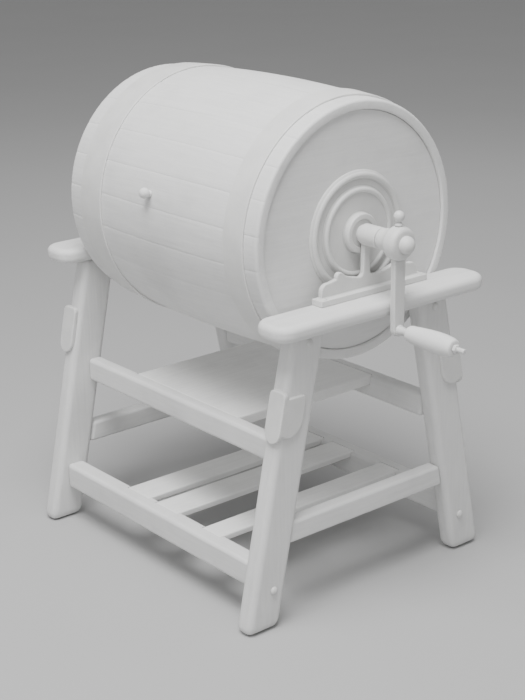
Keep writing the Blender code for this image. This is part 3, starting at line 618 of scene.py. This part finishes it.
def build_fixings():
    face = LEG_Y + LEG_T / 2
    for end in ENDS:
        for side, sx in SIDES.items():
            spot = facing(end, sx * leg_centre(0.558), face, 0.558)
            screw_piece(f"leg_top_screw_{end}_{side}", spot, 0.0075, 0.005, "stand", False)
            spot = facing(end, sx * LOWER_RAIL["x"], face, 0.083)
            screw_piece(f"foot_bolt_{end}_{side}", spot, 0.0085, 0.006, "stand", False)
            top = RAIL_Z + RAIL_T + GAP + BASE_T
            spot = Matrix.Translation((AXLE_X + POST_SHIFT + sx * 0.124, ENDS[end] * 0.3345, top))
            spot = spot @ Matrix.Rotation(0.5 * sx + ENDS[end], 4, "Z")
            screw_piece(f"bracket_screw_{end}_{side}", spot, 0.0050, 0.0020, "stand", True)


def build_stand():
    slat_spans = list(SLATS.values())
    for end in ENDS:
        build_top_rail(end)
        build_stretcher(end)
        for side in SIDES:
            build_leg(side, end)
            build_corner_plate(side, end)
    for side in SIDES:
        build_side_rail(side, "upper", UPPER_RAIL, SHELF_T, SHELF_LAP, [(-SHELF_HALF, SHELF_HALF)])
        build_side_rail(side, "lower", LOWER_RAIL, SLAT_T, SLAT_LAP, slat_spans)
    build_board("shelf_board", UPPER_RAIL, SHELF_T, SHELF_LAP, (-SHELF_HALF, SHELF_HALF), 0.0040)
    for name, span in SLATS.items():
        build_board(f"{name}_slat", LOWER_RAIL, SLAT_T, SLAT_LAP, span, 0.0035)
    build_fixings()


# ---------------------------------------------------------------- bearings

def bracket_side(shift):
    """One side of the scalloped outline, with the post a shift towards this side of the middle."""
    saddle_r, saddle_low, post = 0.184, 0.0225, shift + 0.0185
    points = [(0.125, -0.002)]
    points += arc(0.1085, 0.0115, 0.0165, -5, 100, 12)
    points += [(0.0925, 0.0300)]
    points += arc(0.0775, 0.0340, 0.009, -15, 140, 14)
    for i in range(12):
        x = 0.062 + (post + 0.010 - 0.062) * i / 11
        points.append((x, saddle_low + saddle_r - math.sqrt(saddle_r ** 2 - x ** 2)))
    points += arc(post, 0.0340, 0.010, 270, 180, 8)
    return points


def build_bracket(end):
    """Long foot, scalloped plate, post and eye, melted together as one casting."""
    name = f"{end}_bearing_bracket"
    middle, foot_z = AXLE_X + POST_SHIFT, RAIL_Z + RAIL_T + GAP
    near, far = sorted(ENDS[end] * y for y in BASE_SPAN)
    bm = bmesh.new()
    block(bm, (middle - BRACKET_HALF, near, foot_z), (middle + BRACKET_HALF, far, foot_z + BASE_T))
    plate_z = foot_z + BASE_T - 0.002
    post_top = AXLE_Z - (EYE_R + BUSH_R) / 2 - plate_z
    outline = bracket_side(-POST_SHIFT) + [(0.0075 - POST_SHIFT, post_top), (-0.0075 - POST_SHIFT, post_top)]
    outline += [(-x, z) for x, z in reversed(bracket_side(POST_SHIFT))]
    thick = BRACKET_PLATE_T / 2
    slab(bm, outline, -thick, thick, upright(middle, ENDS[end] * BRACKET_Y, plate_z))
    low, high = BUSH_SPAN
    bore = BUSH_R + GAP
    profile = rounded([(bore, high - GAP), (EYE_R, high - GAP), (EYE_R, low + GAP), (bore, low + GAP)],
                      0.0010)
    lathe(bm, profile, 64, matrix=outward(end))
    piece = mesh_piece(name, bm)
    cast_skin(piece, 0.0011, 5)
    finish_piece(piece, "stand", CAST, [name], weighted=False)


# ---------------------------------------------------------------- barrel

def stave_radius(y):
    return CHIME_R + BILGE * (1 - (y / BARREL_HALF) ** 2)


def stave_rows():
    """Stations along a stave as (y, drop of the outer face, drop of the inner edge)."""
    edge = 0.0055
    ends = [(BARREL_HALF - edge * (1 - math.cos(a)), edge * (1 - math.sin(a)), 0.003 * (1 - math.sin(a)))
            for a in [math.pi / 2 * i / 6 for i in range(7)]]
    inside = [(0.29 * (1 - 2 * i / 24), 0.0, 0.0) for i in range(25)]
    return ends + inside + [(-y, out, into) for y, out, into in reversed(ends)]


def build_stave(index, half_angle):
    """One stave: crowned across, rounded at its long edges and at the chime."""
    centre = math.pi / 2 + index * 2 * math.pi / STAVE_COUNT
    sink = 0.0006 * noise.noise(Vector((index * 1.7, 4.2, 0))) ** 2
    across = [(-1, 0.0006), (-0.975, 0.0004), (-0.93, 0.0002), (-0.84, 0), (-0.45, 0), (0, 0),
              (0.45, 0), (0.84, 0), (0.93, 0.0002), (0.975, 0.0004), (1, 0.0006)]
    bm = bmesh.new()
    rings = []
    for y, out, into in stave_rows():
        radius = stave_radius(y) - sink
        wave = 0.0004 * noise.noise(Vector((index * 3.1, y * 7, 1.5))) - 0.0004
        ring = [(share * half_angle, radius - drop - out + wave) for share, drop in across]
        ring += [(share * half_angle, radius - STAVE_T + into) for share in (1, 0.5, 0, -0.5, -1)]
        rings.append([bm.verts.new((r * math.cos(centre + a), y, -r * math.sin(centre + a)))
                      for a, r in ring])
    count = len(rings[0])
    for near, far in zip(rings, rings[1:]):
        for i in range(count):
            j = (i + 1) % count
            bm.faces.new((near[i], near[j], far[j], far[i]))
    bm.faces.new(rings[0])
    bm.faces.new(rings[-1])
    bmesh.ops.transform(bm, matrix=axle(), verts=bm.verts)
    return mesh_piece(f"stave_{index + 2:02d}", bm)


def hatch_wedge(clear):
    half_angle = HATCH_ANGLE - clear / (CHIME_R + BILGE - STAVE_T / 2)
    half_len = HATCH_HALF - clear
    bm = bmesh.new()
    rings = []
    for i in range(13):
        a = math.pi / 2 + half_angle * (i / 6 - 1)
        corners = [(0.20, -half_len), (0.20, half_len), (0.29, half_len), (0.29, -half_len)]
        rings.append([bm.verts.new((AXLE_X + r * math.cos(a), y, AXLE_Z - r * math.sin(a)))
                      for r, y in corners])
    for near, far in zip(rings, rings[1:]):
        for i in range(4):
            j = (i + 1) % 4
            bm.faces.new((near[i], near[j], far[j], far[i]))
    bm.faces.new(rings[0])
    bm.faces.new(rings[-1])
    return mesh_piece("wedge", bm)


def joined(name, pieces):
    """One object from several finished ones."""
    bm = bmesh.new()
    for piece in pieces:
        mesh = bake_modifiers(piece)
        bm.from_mesh(mesh)
    drop(*pieces)
    return mesh_piece(name, bm, Matrix())


def build_staves():
    half_angle = math.pi / STAVE_COUNT - 0.00025
    opening, lid_space = hatch_wedge(0), hatch_wedge(HATCH_CLEAR)
    vent = bore_tool(0.0048, (-0.04, 0.02), 24, vent_seat())
    staves, lid = [], []
    for index in range(STAVE_COUNT):
        stave = build_stave(index, half_angle)
        if index in (0, 1, STAVE_COUNT - 1):
            lid.append(build_stave(index, half_angle))
            cut(lid[-1], lid_space, "INTERSECT")
            cut(stave, opening)
        if index == vent_stave():
            cut(stave, vent)
        staves.append(stave)
    barrel = joined("barrel_staves", staves)
    finish_piece(barrel, "barrel", STAVE, ["barrel_staves"], smooth=50, weighted=False)
    cover = joined("hatch_lid", lid)
    finish_piece(cover, "hatch_lid", STAVE, ["hatch_lid"], smooth=50, weighted=False)
    drop(opening, lid_space, vent)


def vent_seat():
    along = 0.009
    surface = Matrix.Translation((stave_radius(along) + 0.0005, along, 0))
    return axle(Matrix.Rotation(VENT_ANGLE, 4, "Y") @ surface @ Matrix.Rotation(math.pi / 2, 4, "Y"))


def vent_stave():
    """Index of the stave the vent hole goes through."""
    return round((VENT_ANGLE - math.pi / 2) / (2 * math.pi / STAVE_COUNT)) % STAVE_COUNT


def build_head(end):
    """The flat round head, with a rounded rim."""
    name = f"{end}_head"
    body = stave_radius(HEAD_OUT) - STAVE_T - 0.0008
    back = HEAD_OUT - HEAD_T
    hole = SHAFT_R + GAP
    profile = rounded([(body, HEAD_OUT), (body, back), (hole, back), (hole, HEAD_OUT)], 0.0016, 3)
    piece = mesh_piece(name, lathe(bmesh.new(), profile, 128, matrix=outward(end)))
    finish_piece(piece, "barrel", HEAD, [name])


def build_hoop(end):
    name = f"{end}_hoop"
    near, far = HOOP_SPANS[end]
    stations = [near + (far - near) * i / 6 for i in range(7)]
    outer = [(stave_radius(y) + 0.0034, y) for y in reversed(stations)]
    inner = [(stave_radius(y) - 0.0004, y) for y in stations]
    profile = rounded(outer + inner, 0.0014, 3)
    piece = mesh_piece(name, lathe(bmesh.new(), profile, 144, matrix=outward(end)))
    finish_piece(piece, "barrel", HOOP, [name])


def build_flange(end):
    """Two rounded rings round a shallow disc, and a lipped hub collar."""
    name = f"{end}_flange"
    face = HEAD_OUT + GAP
    plate, disc = face + 0.0030, face + 0.0065
    hole = SHAFT_R + GAP
    profile = rounded([(hole, HUB_OUT - 0.003), (0.0260, HUB_OUT - 0.003), (0.0275, HUB_OUT),
                       (0.0380, HUB_OUT), (0.0385, disc), (0.0745, disc)], 0.0035, 5, closed=False)
    profile += arc(0.0808, disc - 0.0010, 0.0056, 165, 25, 14)
    profile += rounded([(0.0868, plate + 0.0020), (0.0890, plate), (0.1000, plate), (0.1020, plate + 0.0015)],
                       0.0016, 3, closed=False)
    profile += arc(0.1085, plate - 0.0004, 0.0068, 155, 20, 16)
    profile += [(0.1176, plate - 0.0005), (0.1180, plate - 0.0012), (0.1180, face), (hole, face)]
    piece = mesh_piece(name, lathe(bmesh.new(), profile, 128, matrix=outward(end)))
    finish_piece(piece, "barrel", CAST, [name], smooth=60)


def build_shaft(end):
    name = f"{end}_shaft"
    tip = 0.4375 if end == "front" else 0.3845
    inner = HEAD_OUT - HEAD_T - 0.020
    profile = rounded([(0, tip), (SHAFT_R, tip), (SHAFT_R, SHOULDER_OUT), (0.017, SHOULDER_OUT),
                       (0.017, HUB_OUT - 0.0027), (SHAFT_R, HUB_OUT - 0.0027), (SHAFT_R, inner), (0, inner)],
                      0.0012, 3, closed=False)
    piece = mesh_piece(name, lathe(bmesh.new(), profile, 64, closed=False, matrix=outward(end)))
    finish_piece(piece, "barrel", STEEL, [name])


def build_collar():
    low, high, outer = CRANK_SPAN[0], 0.3835, 0.020
    hole = SHAFT_R + GAP
    profile = rounded([(outer, high), (outer, low), (hole, low), (hole, high)], 0.0022, 4)
    piece = mesh_piece("back_shaft_collar", lathe(bmesh.new(), profile, 64, matrix=outward("back")))
    finish_piece(piece, "barrel", CAST, ["back_shaft_collar"])


def build_bush(end):
    low, high = BUSH_SPAN
    profile = rounded([(BUSH_R, high), (BUSH_R, low), (0.0131, low), (0.0131, high)], 0.0008, 2)
    piece = mesh_piece(f"{end}_bush", lathe(bmesh.new(), profile, 64, matrix=outward(end)))
    finish_piece(piece, "stand", BRONZE, [f"{end}_bush"])


def build_hatch_handle():
    rod_r, foot_y, bend = 0.004, 0.045, 0.010
    foot, top = stave_radius(foot_y) - 0.0125, stave_radius(0) + 0.026
    turns = [math.pi / 2 * i / 10 for i in range(1, 11)]
    corner = [(top - bend + bend * math.sin(a), -foot_y + bend - bend * math.cos(a)) for a in turns]
    half = [(foot, -foot_y), (top - bend, -foot_y), *corner]
    route = half + [(r, -y) for r, y in reversed(half)]
    curve = bpy.data.curves.new("hatch_handle", "CURVE")
    curve.dimensions = "3D"
    curve.bevel_depth = rod_r
    curve.bevel_resolution = 6
    curve.use_fill_caps = True
    spline = curve.splines.new("POLY")
    spline.points.add(len(route) - 1)
    for point, (r, y) in zip(spline.points, route):
        point.co = (AXLE_X, y + CENTRE_Y, AXLE_Z - r, 1)
    rod = bpy.data.objects.new("rod", curve)
    SCENE.collection.objects.link(rod)
    bm = bmesh.new()
    bm.from_mesh(bake_curve(rod))
    bmesh.ops.remove_doubles(bm, verts=bm.verts, dist=0.00002)
    for sy in ENDS.values():
        profile = rounded([(0.0095, 0.0028), (0.0095, -0.001), (0.0041, -0.001), (0.0041, 0.0028)], 0.0014, 3)
        foot_at = Matrix.Translation((AXLE_X, CENTRE_Y + sy * foot_y, AXLE_Z - stave_radius(foot_y)))
        lathe(bm, profile, 32, matrix=foot_at @ Matrix.Rotation(math.pi, 4, "X"))
    piece = mesh_piece("hatch_handle", bm, Matrix())
    finish_piece(piece, "hatch_lid", HOOP, ["hatch_handle"])


def bake_curve(curve_object):
    graph = bpy.context.evaluated_depsgraph_get()
    graph.update()
    mesh = bpy.data.meshes.new_from_object(curve_object.evaluated_get(graph))
    bpy.data.objects.remove(curve_object)
    return mesh


def build_vent_peg():
    ball_r, peg_r = 0.0105, 0.004
    ball = arc(0, 0.003 + ball_r, ball_r, 90, -58, 18)
    profile = [(0, ball[0][1])] + ball[1:] + [(0.0068, 0.0022), (0.0068, 0.0002), (peg_r, 0.0002),
                                             (peg_r - 0.0006, -0.021), (0, -0.021)]
    piece = mesh_piece("vent_peg", lathe(bmesh.new(), profile, 40, closed=False, matrix=vent_seat()))
    finish_piece(piece, "vent_peg", GRIP_WOOD, ["vent_peg"])


def build_barrel():
    build_staves()
    for end in ENDS:
        build_head(end)
        build_hoop(end)
        build_flange(end)
        build_shaft(end)
        build_bracket(end)
        build_bush(end)
    build_collar()
    build_hatch_handle()
    build_vent_peg()


# ---------------------------------------------------------------- crank

def build_crank_arm():
    """Boss, broad head, flat arm and pin eye as one forging."""
    low, high = CRANK_SPAN
    head_in, head_out = CRANK_ARM_Y - 0.009, CRANK_ARM_Y + 0.009
    hole = SHAFT_R + GAP
    outer = [(hole, high), (0.0245, high), (0.0290, high - 0.0025), (CRANK_BOSS_R, head_out),
             (CRANK_BOSS_R, head_in), (0.0265, head_in - 0.0055), (0.0225, low + 0.019),
             (0.0205, low + 0.004), (0.0203, low), (hole, low)]
    bm = bmesh.new()
    lathe(bm, rounded(outer, 0.0030, 4), 72, matrix=outward("front"))
    outline = [(-0.0142, 0.010)] + arc(0, -CRANK_THROW, 0.0127, 180, 360, 21) + [(0.0142, 0.010)]
    thick = CRANK_ARM_T / 2
    slab(bm, outline, -thick, thick, upright(AXLE_X, -CRANK_ARM_Y, AXLE_Z))
    piece = mesh_piece("crank_arm", bm)
    cast_skin(piece, 0.00095, 8)
    tools = [bore_tool(PIN_R + GAP, (0.3, 0.5), 32, outward("front", AXLE_Z - CRANK_THROW)),
             bore_tool(hole, (0.3, 0.5), 64, outward("front")),
             bore_tool(0.0043, (0.010, 0.1), 24, axle(Matrix.Translation((0, -CRANK_ARM_Y, 0))))]
    for tool in tools:
        cut(piece, tool)
    finish_piece(piece, "barrel", CAST, ["crank_arm"], weighted=False)
    drop(*tools)


def build_set_screw():
    ball_r, ball_z, collar_z = 0.0105, 0.0505, CRANK_BOSS_R + 0.0006
    ball = arc(0, ball_z, ball_r, 90, -66, 20)
    neck = rounded([ball[-1], (0.0042, collar_z + 0.0065), (0.0078, collar_z + 0.0030), (0.0078, collar_z),
                    (0.004, collar_z), (0.004, SHAFT_R + GAP), (0, SHAFT_R + GAP)], 0.0012, 3, closed=False)
    profile = [(0, ball[0][1])] + ball[1:-1] + neck
    matrix = axle(Matrix.Translation((0, -CRANK_ARM_Y, 0)))
    piece = mesh_piece("set_screw", lathe(bmesh.new(), profile, 40, closed=False, matrix=matrix))
    finish_piece(piece, "set_screw", STEEL, ["set_screw"])


def build_ball_nut():
    low = CRANK_SPAN[1] + GAP
    start = math.degrees(math.asin((low - BALL_NUT_CENTRE) / BALL_NUT_R))
    ball = arc(0, BALL_NUT_CENTRE, BALL_NUT_R, 90, start, 24)
    hole_r, hole_top = SHAFT_R + GAP, 0.4380
    profile = [(0, ball[0][1])] + ball[1:] + [(hole_r, low), (hole_r, hole_top), (0, hole_top)]
    piece = mesh_piece("ball_nut", lathe(bmesh.new(), profile, 64, closed=False, matrix=outward("front")))
    finish_piece(piece, "barrel", CAST, ["ball_nut"])


def build_pin():
    arm_in, arm_out = CRANK_ARM_Y - CRANK_ARM_T / 2, CRANK_ARM_Y + CRANK_ARM_T / 2
    grip_in, grip_out = GRIP_SPAN
    rivet, neck = arm_in - GAP, grip_out + 0.0085
    profile = rounded([(0, PIN_TIP), (0.0046, PIN_TIP), (0.0048, neck), (PIN_R, neck),
                       (PIN_R, grip_in - GAP), (0.0085, grip_in - GAP), (0.0072, arm_out + 0.015),
                       (0.0090, arm_out + 0.005), (0.0112, arm_out + GAP), (PIN_R, arm_out + GAP),
                       (PIN_R, rivet), (0.0095, rivet),
                       (0.0080, rivet - 0.003), (0, rivet - 0.0032)], 0.0011, 3, closed=False)
    matrix = outward("front", AXLE_Z - CRANK_THROW)
    piece = mesh_piece("handle_pin", lathe(bmesh.new(), profile, 48, closed=False, matrix=matrix))
    finish_piece(piece, "barrel", STEEL, ["handle_pin"])

    nut_low, nut_high, nut_bore = grip_out + 0.0010, grip_out + 0.0075, PIN_R + GAP
    flats = [(0.0090, nut_high), (0.0090, nut_low), (nut_bore, nut_low), (nut_bore, nut_high)]
    nut = mesh_piece("handle_nut", lathe(bmesh.new(), flats, 6, matrix=matrix))
    round_edges(nut, 0.0007, 2)
    finish_piece(nut, "barrel", STEEL, ["handle_nut"])


def build_grip():
    low, high = GRIP_SPAN
    length, bore = high - low, 0.0061
    swell = [(1.0, 0.0125), (0.985, 0.0158), (0.93, 0.0182), (0.78, 0.0202), (0.60, 0.0205), (0.42, 0.0196),
             (0.25, 0.0180), (0.10, 0.0166), (0.03, 0.0158), (0.0, 0.0135)]
    outer = rounded([(radius, low + share * length) for share, radius in swell], 0.006, 4, closed=False)
    profile = outer + [(bore, low), (bore, high)]
    matrix = outward("front", AXLE_Z - CRANK_THROW)
    piece = mesh_piece("grip", lathe(bmesh.new(), profile, 72, matrix=matrix))
    finish_piece(piece, "grip", GRIP_WOOD, ["grip"], smooth=40)


def build_crank():
    build_crank_arm()
    build_set_screw()
    build_ball_nut()
    build_pin()
    build_grip()


# ---------------------------------------------------------------- the carried-over CAD pieces

def finish_inner_pieces():
    """Pieces inside the barrel keep their solids and get the same finishes."""
    inner = {"front_clamp_nut": STEEL, "back_clamp_nut": STEEL, "hatch_seal": RUBBER,
             "breaker_board_left": WOOD["Y"], "breaker_board_right": WOOD["Y"]}
    for name, material in inner.items():
        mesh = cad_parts[name].data
        mesh.materials.clear()
        mesh.materials.append(material)


# ---------------------------------------------------------------- floor, light and camera

def build_stage():
    bm = bmesh.new()
    bmesh.ops.create_grid(bm, x_segments=1, y_segments=1, size=14)
    floor = mesh_piece("floor", bm, Matrix())
    material, tree, shader = new_material("floor")
    tone = mapped_noise(tree, (1, 1, 1), 1.5, 2)
    tree.links.new(mix(tree, tone, (0.41, 0.41, 0.41), (0.43, 0.43, 0.43)), shader.inputs["Base Color"])
    shader.inputs["Roughness"].default_value = 0.9
    floor.data.materials.append(material)


def area_light(name, spot, target, size, power):
    light = bpy.data.lights.new(name, "AREA")
    light.shape = "SQUARE"
    light.size = size
    light.energy = power
    lamp = bpy.data.objects.new(name, light)
    SCENE.collection.objects.link(lamp)
    lamp.location = spot
    lamp.rotation_euler = (Vector(target) - Vector(spot)).to_track_quat("-Z", "Y").to_euler()


def build_light():
    world = bpy.data.worlds.new("studio")
    world.use_nodes = True
    background = world.node_tree.nodes["Background"]
    background.inputs["Color"].default_value = (1, 1, 1, 1)
    background.inputs["Strength"].default_value = 0.42
    SCENE.world = world
    area_light("overhead", (-1.3, -0.8, 4.4), (0, 0.1, 0.5), 2.4, 300)
    area_light("side", (-3.4, -1.0, 2.0), (0, 0.1, 0.4), 2.2, 26)
    area_light("fill", (-0.6, -4.0, 2.4), (0, 0.1, 0.5), 2.6, 12)
    area_light("rim", (2.6, 2.6, 2.6), (0, 0.1, 0.6), 2.0, 12)


def build_camera():
    azimuth, elevation, roll = math.radians(-39.76), math.radians(19.23), -0.0123
    target, distance = Vector((0.083, 0.0721 + CENTRE_Y, 0.3742)), 3.2911
    back = Vector((math.sin(azimuth) * math.cos(elevation), -math.cos(azimuth) * math.cos(elevation),
                   math.sin(elevation)))
    right = Vector((math.cos(azimuth), math.sin(azimuth), 0))
    up = back.cross(right)
    turned_right = math.cos(roll) * right + math.sin(roll) * up
    turned_up = math.cos(roll) * up - math.sin(roll) * right
    matrix = Matrix((turned_right, turned_up, back)).transposed().to_4x4()
    matrix.translation = target + distance * back
    camera = bpy.data.cameras.new("camera")
    camera.sensor_fit = "HORIZONTAL"
    camera.sensor_width = 36
    camera.lens = 104.1
    holder = bpy.data.objects.new("camera", camera)
    SCENE.collection.objects.link(holder)
    holder.matrix_world = matrix
    SCENE.camera = holder


build_stage()
build_light()
build_camera()
build_stand()
build_barrel()
build_crank()
finish_inner_pieces()
